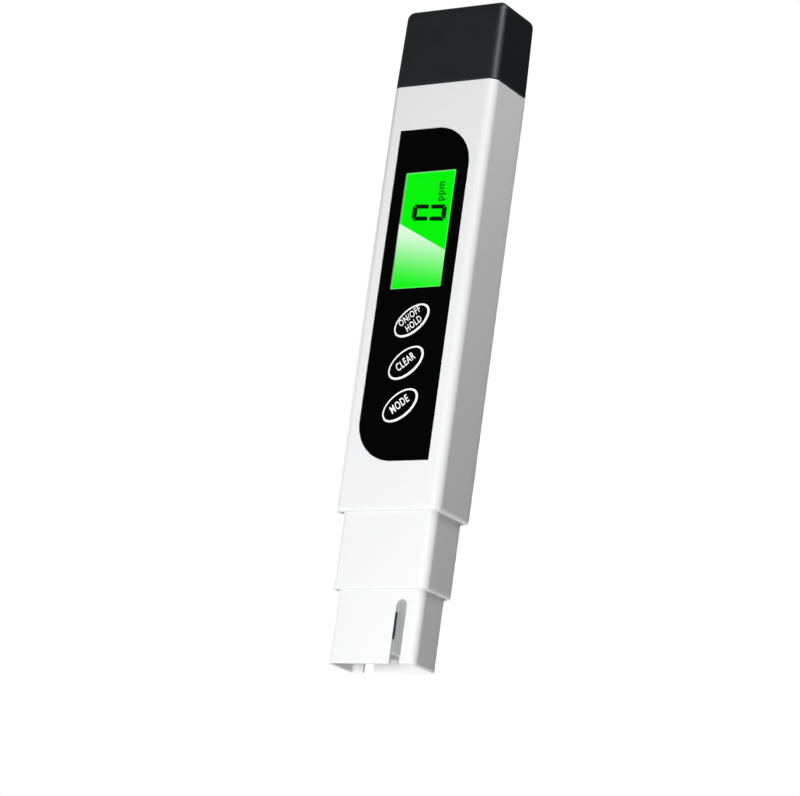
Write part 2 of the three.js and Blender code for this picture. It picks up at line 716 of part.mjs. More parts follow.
add(probe, "probe_collar", probeCollar(), WHITE_ABS);
add(probe, "collar_seal", seal(), RUBBER, [0, 0, BODY_Z + COLLAR_SEAL_RISE + GAP]);
add(probe, "probe_shroud", probeShroud(), WHITE_ABS);
add(probe, "electrode_carrier", electrodeCarrier(), INNER_ABS);
[
  ["electrode_left", "electrode_lead_left", -ELECTRODE_X],
  ["electrode_right", "electrode_lead_right", ELECTRODE_X],
].forEach(([pinName, leadName, x]) => {
  const electrode = pin(ELECTRODE_RADIUS, PIN_TOP - ELECTRODE_TIP);
  add(probe, pinName, electrode, TITANIUM, [x, 0, ELECTRODE_TIP]);
  add(probe, leadName, probeLead(), LEAD_WHITE, [x, 0, 0]);
});
const stripX = SLOT_X - SLOT_WIDTH / 2 + GAP;
const stripY = SHROUD.depth / 2 - STRIP.setBack;
add(probe, "slot_electrode_front", slotElectrode(), TITANIUM, [stripX, -stripY, 0]);
add(probe, "slot_electrode_rear", slotElectrode(), TITANIUM, [-stripX, stripY, 0]).rotation.z = Math.PI;
add(probe, "temperature_sensor", pin(SENSOR_RADIUS, PIN_TOP - SENSOR_TIP), STEEL, [0, 0, SENSOR_TIP]);
add(probe, "temperature_sensor_lead", probeLead(), LEAD_BLACK);

export default tester;
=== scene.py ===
"""Looks for the digital water tester: casing shells, legends, lit display, studio and camera.

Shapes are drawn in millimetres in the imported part's frame, with +Z up and the display facing -Y,
and written out in metres.
"""

import json
import math

import bmesh
import bpy
from mathutils import Matrix, Vector


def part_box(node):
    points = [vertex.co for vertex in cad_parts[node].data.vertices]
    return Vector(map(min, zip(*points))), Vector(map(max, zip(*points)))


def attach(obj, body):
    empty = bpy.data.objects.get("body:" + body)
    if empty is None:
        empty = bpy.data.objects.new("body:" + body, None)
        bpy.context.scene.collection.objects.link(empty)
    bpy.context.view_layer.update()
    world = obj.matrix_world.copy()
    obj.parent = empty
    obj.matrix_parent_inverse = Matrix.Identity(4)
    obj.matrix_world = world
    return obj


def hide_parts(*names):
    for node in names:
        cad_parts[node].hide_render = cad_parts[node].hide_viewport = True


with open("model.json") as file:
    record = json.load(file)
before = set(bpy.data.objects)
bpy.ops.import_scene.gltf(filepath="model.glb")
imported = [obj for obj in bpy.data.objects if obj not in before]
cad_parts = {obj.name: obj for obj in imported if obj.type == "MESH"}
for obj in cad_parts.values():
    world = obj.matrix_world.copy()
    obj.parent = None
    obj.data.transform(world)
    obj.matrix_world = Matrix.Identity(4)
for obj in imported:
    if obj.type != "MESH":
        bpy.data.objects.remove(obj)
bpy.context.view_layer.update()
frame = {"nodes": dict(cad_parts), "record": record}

MM = 0.001
CORNER_STEPS = 12  # facets in a quarter turn of a casing corner
OVAL_STEPS = 96
SHARP_ANGLE = math.radians(32)  # a bend above this stays a visible edge

# Casing, in millimetres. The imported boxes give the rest.
BODY_CORNER = 2.3
COLLAR_CORNER = 2.15
SHROUD_CORNER = 2.0
THIN_CORNER = 0.4  # least corner radius inside a wall
BODY_LIP = 0.95  # rounding of the housing's lower edge, and below of the other shells'
COLLAR_LIP = 0.85
SHROUD_LIP = 0.5
INNER_LIP = 0.2
JOINT_EDGE = 0.35  # rounding of the housing's edge at the cap joint
WALL = 1.5
FIT = 0.1  # gap between two parts that fit together
SEAM = 0.15  # gap between housing and battery cap
SPIGOT_STEP = 0.2  # how far a spigot stands back from the wall that slips over it
SPIGOT_EDGE = 0.3
SPIGOT_SEAL_RISE = 1.1  # from the joint up to the cap seal's groove
SPIGOT_BORE = (11.6, 5.0, 0.6)  # half width, half depth, corner
SPIGOT_DEPTH = 4  # how far the spigot's bore runs below the joint
WIREWAY = (8.5, 3.3, 0.8)  # half width, half depth, corner of the hole through the collar
GROOVE_DEPTH, GROOVE_HEIGHT = 0.45, 1.0
SOCKET_DEPTH = 1.4
FACE_SINK = 0.03  # how much deeper the housing's recess is than the faceplate
PLUG_GAP = 0.2  # between the collar's plug and the housing
PLUG_SHOULDER = 1.2  # from the housing's foot up to the shoulder of the collar's plug
PLUG_SEAL_RISE = 6.8  # from the housing's foot up to the plug's seal groove
CAP_WALL = 1.475
CAP_TAPER = 0.4  # how much further in the cap's side stands at its top
CAP_ROUND = 2.2  # rounding of the cap's upper edge
CAP_ROOF = 1.6
CAP_EDGE = 0.1
CAP_FILLET = 0.8
CAP_CHAMFER = 0.2
ROOM_SIDE_WALL, ROOM_FACE_WALL, ROOM_CORNER = 1.2, 0.8, 0.8  # the hollow of the shroud
MOUTH_FLARE, MOUTH_CORNER = 0.15, 0.9
SLOT_WIDTH = 2.9
SLOT_X = 6.85  # the front slot's middle; the rear one is mirrored
SLOT_BELOW_COLLAR = 2.3
SLOT_CUT = 1.8  # how deep the slot cutters go, past the wall
SLOT_EDGE = 0.14
CUT_PAST = 1  # how far a cutter runs past what it cuts

# Faceplate and keys.
FACE_ROUND = 10.2
FACE_EDGE = 0.05
WINDOW_ROUND = 0.2
WINDOW_GAP = 0.05
DISPLAY_OPENING, OPENING_ROUND = 0.2, 0.3  # the housing's opening round the display glass
KEYS = ("power_hold", "clear", "mode")
KEY_LONG, KEY_SHORT = 5.36, 3.25
KEY_TILT = math.radians(36.8)
KEY_EDGE = 0.1
KEY_FLANGE = 0.7  # how far a key's hidden flange reaches past its face
KEY_FLANGE_THICK = 0.8
KEY_FLANGE_GAP = 0.08  # from the faceplate's back to the flange
KEY_PIP_RADIUS = 1.2
FLANGE_ROOT, PIP_ROOT = 0.02, 0.1  # how far flange and pip run into what carries them
KEY_OPENING = 0.9  # how far the housing's opening reaches past a key's face
RING_INSET = 0.02
RING_WIDTH = 0.53
RING_SHIFT = (-0.13, 0.06)  # the ring's inner oval is off-centre, so its lower right is bolder
INK_THICK = 0.02
INK_SINK = 0.005
LETTER_SIZE = 3  # letters are drawn at this size and then fitted
LETTER_SPACING = 1.12
LEGEND_BOLD, UNIT_BOLD = 0.05, 0.07
# Per key: words, width, height, and how far the line sits above the key's middle.
LEGENDS = {
    "power_hold": (("ON/OFF", 6.5, 1.8, 1.42), ("HOLD", 4.6, 1.85, -0.95)),
    "clear": (("CLEAR", 5.5, 2.15, 0.42),),
    "mode": (("MODE", 5.35, 2.15, 0.42),),
}

# The display's digit and unit. They read sideways: their tops point to -X.
DIGIT_TALL, DIGIT_WIDE = 9.75, 4.1
DIGIT_LEAN = 0.072
STROKE = 1.06
BREAK = 0.36  # gap between neighbouring segments
END_CUT = 0.26  # how much is cut off a segment's corners
SEGMENT_THICK, SEGMENT_EDGE = 0.04, 0.01
SEGMENT_GAP = 0.01  # in front of the display glass
UNIT_WIDE, UNIT_TALL = 4.95, 2.1
UNIT_TURN = math.radians(93)

# The pale reflection on the window.
GLARE_SLOPE = -0.535
GLARE_TILT = 0.18
GLARE_DEPTH = 15
GLARE_FOOT = 2.0  # how far below the window it fades to nothing

WORN_AND_HIGHLIT_WIDTH = 0.35  # width of the edge band painted with wear, and on the black plastic with a painted highlight
CAD_EDGE = 0.07  # softening of the edges of the parts kept from the CAD

CAMERA_PLACE = (427.97, -620.55, -141.28)
CAMERA_TARGET = (-5.35, 0.0, 65.74)
CAMERA_ROLL = 7.95  # degrees
CAMERA_LENS = 148.62

FLOOR_HALF, FLOOR_DROP = 2000, 0.2
FLOOR_FADE = (250, 900)  # the floor fades to nothing between these distances
WORLD_FILL, DARK_FILL = 0.11, 0.01
DARK_SIDE = (0.57, 0.8, 0.2)  # direction behind the tester's right side, left unlit
# Name, azimuth (0 in front, 90 at the right), distance, height, target, width, height, watts, sheen.
LIGHTS = (
    ("front_low", 8, 360, -75, (0, 0, 40), 200, 160, 1.38, 0.3),
    ("edge_strip", 58, 280, 340, (0, 0, 140), 180, 240, 0.52, 1),
    ("right_top", 93, 150, 330, (14, 0, 120), 120, 120, 0.15, 1),
    ("from_below", 120, 40, -380, (0, 0, 30), 200, 200, 0.55, 1),
    ("back_main", 200, 450, 120, (0, 0, 80), 260, 260, 1.3, 0.6),
    ("left_fill", 255, 450, 80, (0, 0, 80), 260, 260, 0.7, 0.6),
)


def box_mm(node):
    low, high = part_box(node)
    return low / MM, high / MM


HOUSING_LOW, HOUSING_HIGH = box_mm("housing")
CAP_LOW, CAP_HIGH = box_mm("battery_cap")
COLLAR_LOW, COLLAR_HIGH = box_mm("probe_collar")
_, SHROUD_HIGH = box_mm("probe_shroud")
FACE_LOW, FACE_HIGH = box_mm("faceplate")
WINDOW_LOW, WINDOW_HIGH = box_mm("lcd_window")
LCD_LOW, LCD_HIGH = box_mm("lcd_glass")
JOINT_Z = CAP_LOW.z - SEAM
DIGIT_CENTRE = (0.74, WINDOW_HIGH.z - 10.4)
UNIT_CENTRE = (3.78, WINDOW_HIGH.z - 5.15)
GLARE_Z = WINDOW_HIGH.z - 16.65  # height of the reflection's upper edge at the middle


def key_centre(key):
    low, high = box_mm(f"{key}_key")
    return (low.x + high.x) / 2, (low.z + high.z) / 2


# ---------------------------------------------------------------- shapes


def ring(half_x, half_y, corner, z):
    """Outline of an upright rounded rectangle."""
    points = []
    for quarter, (side_x, side_y) in enumerate(((1, 1), (-1, 1), (-1, -1), (1, -1))):
        for step in range(CORNER_STEPS + 1):
            angle = (quarter + step / CORNER_STEPS) * math.pi / 2
            x = side_x * (half_x - corner) + corner * math.cos(angle)
            y = side_y * (half_y - corner) + corner * math.sin(angle)
            points.append((x, y, z))
    return points


def rounded(start, corner, end, steps):
    """Quarter turn in an (inset, height) profile, from start to end round a sharp corner."""
    centre = [s + e - c for s, c, e in zip(start, corner, end)]
    points = []
    for step in range(steps + 1):
        angle = step / steps * math.pi / 2
        points.append(
            tuple(
                m + (s - m) * math.cos(angle) + (e - m) * math.sin(angle)
                for m, s, e in zip(centre, start, end)
            )
        )
    return points


def seal_groove(inset, z):
    """Profile points of the groove that a seal sits in."""
    bottom, top = inset + GROOVE_DEPTH, z + GROOVE_HEIGHT
    return [(inset, z), (bottom, z), (bottom, top), (inset, top)]


def outer_lip(z, size, steps=7):
    """Profile of a shell's rounded lower edge."""
    return rounded((size, z), (0, z), (0, z + size), steps)


def inner_lip(inset, z):
    """Profile of the rounded edge of a socket."""
    return rounded((inset, z + INNER_LIP), (inset, z), (inset - INNER_LIP, z), 3)


def spigot_end(inset, z):
    """Profile of the rounded upper edge of a spigot."""
    return rounded((inset, z - SPIGOT_EDGE), (inset, z), (inset + SPIGOT_EDGE, z), 3)


def sections(base, profile):
    """Rings for a profile of (inset, height) pairs or of (half x, half y, corner, height) rings."""
    half_x, half_y, corner = base
    rings = []
    for point in profile:
        if len(point) == 2:
            inset, z = point
            point = (half_x - inset, half_y - inset, max(corner - inset, THIN_CORNER), z)
        rings.append(ring(*point))
    return rings


def new_object(name, bm):
    bmesh.ops.recalc_face_normals(bm, faces=bm.faces)
    mesh = bpy.data.meshes.new(name)
    bm.to_mesh(mesh)
    bm.free()
    obj = bpy.data.objects.new(name, mesh)
    bpy.context.scene.collection.objects.link(obj)
    return obj


def loft(name, rings, closed):
    """A skin through rings. A closed one joins its last ring to its first, an open one gets ends."""
    bm = bmesh.new()
    levels = [[bm.verts.new(point) for point in points] for points in rings]
    pairs = list(zip(levels, levels[1:]))
    if closed:
        pairs.append((levels[-1], levels[0]))
    else:
        bm.faces.new(levels[0])
        bm.faces.new(levels[-1])
    for lower, upper in pairs:
        for i in range(len(lower)):
            bm.faces.new((lower[i - 1], lower[i], upper[i], upper[i - 1]))
    return new_object(name, bm)


def plate(name, outline, y_front, y_back, holes=()):
    """A flat plate facing -Y from loops of (x, z) points."""
    bm = bmesh.new()
    edges = []
    for loop in (outline, *holes):
        verts = [bm.verts.new((x, y_back, z)) for x, z in loop]
        edges += [bm.edges.new((verts[i - 1], verts[i])) for i in range(len(verts))]
    bmesh.ops.triangle_fill(bm, use_beauty=True, use_dissolve=False, edges=edges)
    made = bmesh.ops.extrude_face_region(bm, geom=list(bm.faces))
    moved = [item for item in made["geom"] if isinstance(item, bmesh.types.BMVert)]
    bmesh.ops.translate(bm, verts=moved, vec=(0, y_front - y_back, 0))
    return new_object(name, bm)


def arc(x, z, radius, start, end, steps=24):
    """Points of an arc from one angle to another, in degrees."""
    points = []
    for step in range(steps + 1):
        angle = math.radians(start + (end - start) * step / steps)
        points.append((x + radius * math.cos(angle), z + radius * math.sin(angle)))
    return points


def circle(x, z, radius, steps=24):
    return arc(x, z, radius, 0, 360 - 360 / steps, steps - 1)


def oval(x, z, long, short):
    """A key's slanted outline from its two half lengths."""
    points = []
    for step in range(OVAL_STEPS):
        angle = step / OVAL_STEPS * 2 * math.pi
        along, across = long * math.cos(angle), short * math.sin(angle)
        points.append(
            (
                x + along * math.cos(KEY_TILT) - across * math.sin(KEY_TILT),
                z + along * math.sin(KEY_TILT) + across * math.cos(KEY_TILT),
            )
        )
    return points


def rectangle(low, high, corner, grow=0.0):
    """Rounded rectangle round two corners of a box, seen from the front."""
    low_x, low_z = low.x - grow + corner, low.z - grow + corner
    high_x, high_z = high.x + grow - corner, high.z + grow - corner
    return (
        arc(high_x, low_z, corner, -90, 0, 6)
        + arc(high_x, high_z, corner, 0, 90, 6)
        + arc(low_x, high_z, corner, 90, 180, 6)
        + arc(low_x, low_z, corner, 180, 270, 6)
    )


def face_outline(grow=0.0):
    """Faceplate outline: square at top left and bottom right, rounded at the other two corners."""
    low_x, low_z = FACE_LOW.x - grow, FACE_LOW.z - grow
    high_x, high_z = FACE_HIGH.x + grow, FACE_HIGH.z + grow
    radius = FACE_ROUND + grow
    return [
        (high_x, low_z),
        *arc(high_x - radius, high_z - radius, radius, 0, 90),
        (low_x, high_z),
        *arc(low_x + radius, low_z + radius, radius, 180, 270),
    ]


def new_mesh(obj):
    """A copy of an object's mesh, or of a text's, with its modifiers applied."""
    bpy.context.view_layer.update()
    return bpy.data.meshes.new_from_object(obj.evaluated_get(bpy.context.evaluated_depsgraph_get()))


def bake_modifiers(obj):
    mesh = new_mesh(obj)
    obj.modifiers.clear()
    obj.data = mesh


def slab_cutter(outline, y_front, y_back):
    return plate("cutter", outline, y_front, y_back)


def carve(obj, cutters):
    """Cuts every cutter out of obj and removes the cutters."""
    for cutter in cutters:
        modifier = obj.modifiers.new("carve", "BOOLEAN")
        modifier.operation = "DIFFERENCE"
        modifier.solver = "EXACT"
        modifier.object = cutter
    bake_modifiers(obj)
    for cutter in cutters:
        bpy.data.objects.remove(cutter)


def add_bevel(obj, width, degrees, segments):
    """Rounds the edges that bend by more than an angle."""
    modifier = obj.modifiers.new("soften", "BEVEL")
    modifier.width = width
    modifier.segments = segments
    modifier.limit_method = "ANGLE"
    modifier.angle_limit = math.radians(degrees)


def soften(obj, width, segments=3):
    add_bevel(obj, width, 60, segments)
    bake_modifiers(obj)


def smooth(obj):
    """Smooth shading that keeps flat faces flat and real edges sharp."""
    mesh = obj.data
    mesh.polygons.foreach_set("use_smooth", [True] * len(mesh.polygons))
    mesh.set_sharp_from_angle(angle=SHARP_ANGLE)
    modifier = obj.modifiers.new("flat faces", "WEIGHTED_NORMAL")
    modifier.keep_sharp = True


def join(name, objects):
    """One object with the meshes of several, which are removed."""
    bm = bmesh.new()
    for obj in objects:
        bm.from_mesh(obj.data)
        bpy.data.objects.remove(obj)
    return new_object(name, bm)


def settle(obj, body, material, stands_for=()):
    """Scales a finished piece to metres, gives it its material and lets it ride on a CAD body."""
    obj.data.transform(Matrix.Scale(MM, 4))
    smooth(obj)
    obj.data.materials.clear()
    obj.data.materials.append(material)
    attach(obj, body)
    if stands_for:
        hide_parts(*stands_for)


# ---------------------------------------------------------------- material nodes


class Recipe:
    """One node material, with short calls for its nodes. Each finish below calls its own one r."""

    def __init__(self, name):
        self.material = bpy.data.materials.new(name)
        self.material.use_nodes = True
        self.tree = self.material.node_tree
        self.tree.nodes.clear()
        self.output = self.tree.nodes.new("ShaderNodeOutputMaterial")
        metres = self.node("ShaderNodeTexCoord").outputs["Object"]
        self.place = self.math_vector("DIVIDE", metres, (MM,) * 3)

    def node(self, kind, **settings):
        made = self.tree.nodes.new(kind)
        for key, value in settings.items():
            setattr(made, key, value)
        return made

    def feed(self, socket, value):
        if isinstance(value, bpy.types.NodeSocket):
            self.tree.links.new(value, socket)
        else:
            socket.default_value = value

    def math(self, operation, *values, clamp=False):
        made = self.node("ShaderNodeMath", operation=operation, use_clamp=clamp)
        for socket, value in zip(made.inputs, values):
            self.feed(socket, value)
        return made.outputs[0]

    def math_vector(self, operation, *values):
        made = self.node("ShaderNodeVectorMath", operation=operation)
        for socket, value in zip(made.inputs, values):
            self.feed(socket, value)
        single = operation in ("DOT_PRODUCT", "LENGTH")
        return made.outputs["Value" if single else "Vector"]

    def noise(self, size_mm, detail=2.0, stretch=(1, 1, 1), roughness=0.5):
        """Noise from 0 to 1, with features about size_mm across that stretch draws out."""
        vector = self.math_vector("DIVIDE", self.place, tuple(size_mm * s for s in stretch))
        made = self.node("ShaderNodeTexNoise")
        self.feed(made.inputs["Vector"], vector)
        self.feed(made.inputs["Scale"], 1.0)
        self.feed(made.inputs["Detail"], detail)
        self.feed(made.inputs["Roughness"], roughness)
        return made.outputs["Fac"]

    def span(self, value, low, high, from_low=0.0, from_high=1.0, smoothly=False):
        """Maps value from one range to another, held at its ends."""
        made = self.node("ShaderNodeMapRange", clamp=True)
        made.interpolation_type = "SMOOTHSTEP" if smoothly else "LINEAR"
        for key, item in (
            ("Value", value),
            ("From Min", from_low),
            ("From Max", from_high),
            ("To Min", low),
            ("To Max", high),
        ):
            self.feed(made.inputs[key], item)
        return made.outputs["Result"]

    def blend(self, factor, first, second):
        """Mix of two tones. The node's colour sockets are its inputs 6 and 7 and its output 2."""
        made = self.node("ShaderNodeMix", data_type="RGBA")
        self.feed(made.inputs[0], factor)
        self.feed(made.inputs[6], colour(first))
        self.feed(made.inputs[7], colour(second))
        return made.outputs[2]

    def axis(self, name):
        made = self.node("ShaderNodeSeparateXYZ")
        self.feed(made.inputs[0], self.place)
        return made.outputs[name]

    def bump(self, height, depth_mm, normal=None):
        made = self.node("ShaderNodeBump")
        self.feed(made.inputs["Height"], height)
        self.feed(made.inputs["Strength"], 1.0)
        self.feed(made.inputs["Distance"], depth_mm * MM)
        if normal is not None:
            self.feed(made.inputs["Normal"], normal)
        return made.outputs["Normal"]

    def principled(self, **inputs):
        made = self.node("ShaderNodeBsdfPrincipled")
        for key, value in inputs.items():
            self.feed(made.inputs[key.replace("_", " ")], value)
        return made.outputs[0]

    def mix_shader(self, factor, first, second):
        made = self.node("ShaderNodeMixShader")
        self.feed(made.inputs[0], factor)
        self.tree.links.new(first, made.inputs[1])
        self.tree.links.new(second, made.inputs[2])
        return made.outputs[0]

    def finish(self, shader):
        self.tree.links.new(shader, self.output.inputs["Surface"])
        return self.material


def colour(value):
    """A socket as it is, or a tone with an alpha of 1."""
    if isinstance(value, bpy.types.NodeSocket) or len(value) == 4:
        return value
    return (*value, 1.0)


def scaled(tone, factor):
    return tuple(min(1.0, channel * factor) for channel in tone)


# ---------------------------------------------------------------- finishes


def worn_and_highlit_edges(r):
    """Patchy lighter cover along the edges, found where a rounded normal leaves the face's own:
    wear, and on the black plastic a painted bluish highlight.
    """
    bevel = r.node("ShaderNodeBevel", samples=4)
    r.feed(bevel.inputs["Radius"], WORN_AND_HIGHLIT_WIDTH * MM)
    face = r.node("ShaderNodeNewGeometry").outputs["Normal"]
    facing = r.math_vector("DOT_PRODUCT", bevel.outputs[0], face)
    return r.math("MULTIPLY", r.span(facing, 0.8, 0.0, 0.86, 0.995), r.noise(1.6, 3.0))


def moulded(
    name, tone, roughness, grain_mm=0.12, grain_depth=0.002, drift=0.04, worn_and_highlit_tone=None, **extra
):
    """Moulded plastic: fine grain, slow tone drift, polish that varies and, if asked, an edge band
    of wear and painted highlight.
    """
    r = Recipe(name)
    slow = r.noise(14, 3.0, (1, 1, 2.5))
    base = r.blend(slow, scaled(tone, 1 - drift), scaled(tone, 1 + drift))
    if worn_and_highlit_tone:
        base = r.blend(worn_and_highlit_edges(r), base, worn_and_highlit_tone)
    grain = r.noise(grain_mm, 3.0, roughness=0.6)
    wave = r.noise(9, 1.0)
    polish = r.math("ADD", r.span(r.noise(5, 3.0), -0.05, 0.05), roughness)
    normal = r.bump(grain, grain_depth, r.bump(wave, 0.01))
    return r.finish(r.principled(Base_Color=base, Roughness=polish, Normal=normal, **extra))


def insulation(name, tone, drift=0.1):
    """Lead insulation: soft plastic with a coarser grain."""
    return moulded(name, tone, 0.4, grain_mm=0.2, grain_depth=0.003, drift=drift)


def film(name):
    """Black printed overlay: near-black gloss with slight orange peel and faint wipe marks."""
    r = Recipe(name)
    base = r.blend(r.noise(6, 3.0), (0.0002, 0.0002, 0.0003), (0.0005, 0.0005, 0.0006))
    wipes = r.noise(2.5, 4.0, (1, 1, 5))
    polish = r.span(wipes, 0.11, 0.2)
    normal = r.bump(r.noise(0.35, 2.0), 0.0004)
    shader = r.principled(Base_Color=base, Roughness=polish, Normal=normal, Specular_IOR_Level=0.14)
    return r.finish(shader)


def print_ink(name):
    """White screen-printed ink with slightly uneven cover, and a painted glow that makes it read
    brighter than its lighting.
    """
    r = Recipe(name)
    cover = r.noise(0.25, 4.0)
    base = r.blend(cover, (0.72, 0.72, 0.73), (0.9, 0.9, 0.9))
    # painted glow: emission that brightens the ink beyond what the lamps give
    painted_brightness = r.blend(cover, (0.14, 0.14, 0.14), (0.2, 0.2, 0.2))
    shader = r.principled(
        Base_Color=base,
        Roughness=r.span(cover, 0.4, 0.55),
        Normal=r.bump(cover, 0.002),
        Emission_Color=painted_brightness,
        Emission_Strength=1.0,
    )
    return r.finish(shader)


def display_green(name):
    """Backlit display: bright green, a little uneven, with a fine electrode weave."""
    r = Recipe(name)
    cloud = r.noise(12, 2.0)
    turns = 2 * math.pi / 0.22
    waves = [r.math("SINE", r.math("MULTIPLY", r.axis(axis), turns)) for axis in "XZ"]
    weave = r.span(r.math("MULTIPLY", *waves), 0.0, 0.035, -1, 1)
    light = r.blend(cloud, (0.0, 0.9, 0.001), (0.0, 0.94, 0.002))
    lit = r.blend(weave, light, (0.0, 0.6, 0.0))
    shader = r.principled(
        Base_Color=(0.0, 0.02, 0.0, 1),
        Roughness=r.span(cloud, 0.3, 0.4),
        Emission_Color=lit,
        Emission_Strength=1.0,
        Specular_IOR_Level=0.02,
    )
    return r.finish(shader)


def display_ink(name, dark, light):
    """Dark switched-on display segment, with the backlight showing through a little."""
    r = Recipe(name)
    tone = r.blend(r.noise(0.6, 2.0), dark, light)
    shader = r.principled(
        Base_Color=(0, 0, 0, 1),
        Roughness=0.6,
        Emission_Color=tone,
        Emission_Strength=1.0,
        Specular_IOR_Level=0.0,
    )
    return r.finish(shader)


def reflection_cover(r, x, z):
    """Cover of the pale reflection. It has a slanting upper edge, fades downwards and turns dim
    away from the camera's direction."""
    edge = r.math("ADD", r.math("MULTIPLY", x, GLARE_SLOPE), GLARE_Z)
    below = r.span(r.math("SUBTRACT", edge, z), 0, 1, -0.08, 0.08)
    foot = r.math("SUBTRACT", z, WINDOW_LOW.z - GLARE_FOOT)
    rise = r.math("ADD", foot, r.math("MULTIPLY", x, GLARE_TILT))
    fade = r.math("POWER", r.math("DIVIDE", rise, GLARE_DEPTH, clamp=True), 2.5)
    toward = (Vector(CAMERA_PLACE) - Vector(CAMERA_TARGET)).normalized()
    incoming = r.node("ShaderNodeNewGeometry").outputs["Incoming"]
    facing = r.math_vector("DOT_PRODUCT", incoming, tuple(toward))
    seen = r.span(facing, 0.15, 0.5, 0.6, 0.95, smoothly=True)
    return r.math("MULTIPLY", r.math("MULTIPLY", below, fade), seen)


def rim_cover(r, x, z):
    """Cover of the faint light line round the window."""
    middle = (WINDOW_LOW + WINDOW_HIGH) / 2
    half = (WINDOW_HIGH - WINDOW_LOW) / 2
    near_side = r.math("SUBTRACT", half.x, r.math("ABSOLUTE", x))
    near_end = r.math("SUBTRACT", half.z, r.math("ABSOLUTE", r.math("SUBTRACT", z, middle.z)))
    return r.span(r.math("MINIMUM", near_side, near_end), 0.1, 0, 0.06, 0.24)


def window_glass(name):
    """Clear window with a painted pale reflection, a painted faint light line round its edge and a
    little gloss.
    """
    r = Recipe(name)
    x, z = r.axis("X"), r.axis("Z")
    cover = r.math("MAXIMUM", reflection_cover(r, x, z), rim_cover(r, x, z))
    clear = r.node("ShaderNodeBsdfTransparent").outputs[0]
    pale = r.node("ShaderNodeEmission")
    r.feed(pale.inputs["Color"], (0.95, 1.0, 0.95, 1))
    gloss = r.node("ShaderNodeBsdfGlossy")
    r.feed(gloss.inputs["Roughness"], r.span(r.noise(3, 3.0), 0.02, 0.07))
    fresnel = r.node("ShaderNodeFresnel")
    r.feed(fresnel.inputs["IOR"], 1.45)
    faint = r.math("MULTIPLY", fresnel.outputs[0], 0.2)
    body = r.mix_shader(cover, clear, pale.outputs[0])
    return r.finish(r.mix_shader(faint, body, gloss.outputs[0]))


def metal(name, tone, roughness, stretch=(1, 1, 12)):
    """Drawn or brushed metal, streaked along one axis."""
    r = Recipe(name)
    streak = r.noise(0.12, 4.0, stretch)
    base = r.blend(r.noise(2.5, 3.0), scaled(tone, 0.85), scaled(tone, 1.1))
    polish = r.math("ADD", r.span(streak, -0.08, 0.12), roughness)
    shader = r.principled(
        Base_Color=base,
        Metallic=1.0,
        Roughness=polish,
        Normal=r.bump(streak, 0.0015),
    )
    return r.finish(shader)


def rubber(name):
    """Dull black rubber with some dust on it."""
    r = Recipe(name)
    dust = r.noise(0.8, 5.0)
    base = r.blend(dust, (0.012, 0.012, 0.012), (0.03, 0.03, 0.03))
    shader = r.principled(
        Base_Color=base,
        Roughness=r.span(dust, 0.65, 0.85),
        Normal=r.bump(r.noise(0.15, 3.0), 0.006),
        Specular_IOR_Level=0.35,
    )
    return r.finish(shader)


def circuit_board(name):
    """Green solder mask with raised copper tracks and tinned pads."""
    r = Recipe(name)
    bricks = r.node("ShaderNodeTexBrick", offset=0.5)
    swapped = r.node("ShaderNodeCombineXYZ")
    r.feed(swapped.inputs[0], r.axis("Z"))
    r.feed(swapped.inputs[1], r.axis("X"))
    r.feed(bricks.inputs["Vector"], swapped.outputs[0])
    sizes = {"Scale": 1.0, "Mortar Size": 0.12, "Brick Width": 7.0, "Row Height": 1.6}
    for key, value in sizes.items():
        r.feed(bricks.inputs[key], value)
    track = bricks.outputs["Fac"]
    mask = r.blend(r.noise(4, 3.0), (0.008, 0.1, 0.025), (0.014, 0.15, 0.04))
    copper = r.blend(r.noise(1, 2.0), (0.03, 0.24, 0.06), (0.05, 0.3, 0.09))
    dots = r.node("ShaderNodeTexVoronoi", feature="F1")
    r.feed(dots.inputs["Vector"], r.math_vector("DIVIDE", r.place, (3.4,) * 3))
    r.feed(dots.inputs["Scale"], 1.0)
    pad = r.math("LESS_THAN", dots.outputs["Distance"], 0.12)
    base = r.blend(pad, r.blend(track, mask, copper), (0.62, 0.6, 0.54))
    height = r.math("MAXIMUM", track, pad)
    shader = r.principled(
        Base_Color=base,
        Roughness=r.span(r.noise(3, 3.0), 0.25, 0.4),
        Metallic=pad,
        Normal=r.bump(height, 0.03),
    )
    return r.finish(shader)


def floor_finish(name):
    """Pale matt floor, mostly self-lit so that it stays even, clear from below and far away."""
    r = Recipe(name)
    cloud = r.noise(60, 4.0)
    shader = r.principled(
        Base_Color=r.blend(cloud, (0.05, 0.05, 0.05), (0.055, 0.055, 0.055)),
        Roughness=0.9,
        Normal=r.bump(r.noise(1.2, 3.0), 0.02),
        Emission_Color=r.blend(cloud, (0.72, 0.72, 0.72), (0.74, 0.74, 0.74)),
        Emission_Strength=1.0,
        Specular_IOR_Level=0.0,
    )
    clear = r.node("ShaderNodeBsdfTransparent").outputs[0]
    far = r.span(r.math_vector("LENGTH", r.place), 0, 1, *FLOOR_FADE, smoothly=True)
    camera_ray = r.node("ShaderNodeLightPath").outputs["Is Camera Ray"]
    underside = r.node("ShaderNodeNewGeometry").outputs["Backfacing"]
    below = r.math("MULTIPLY", camera_ray, underside)
    return r.finish(r.mix_shader(r.math("MAXIMUM", far, below), shader, clear))


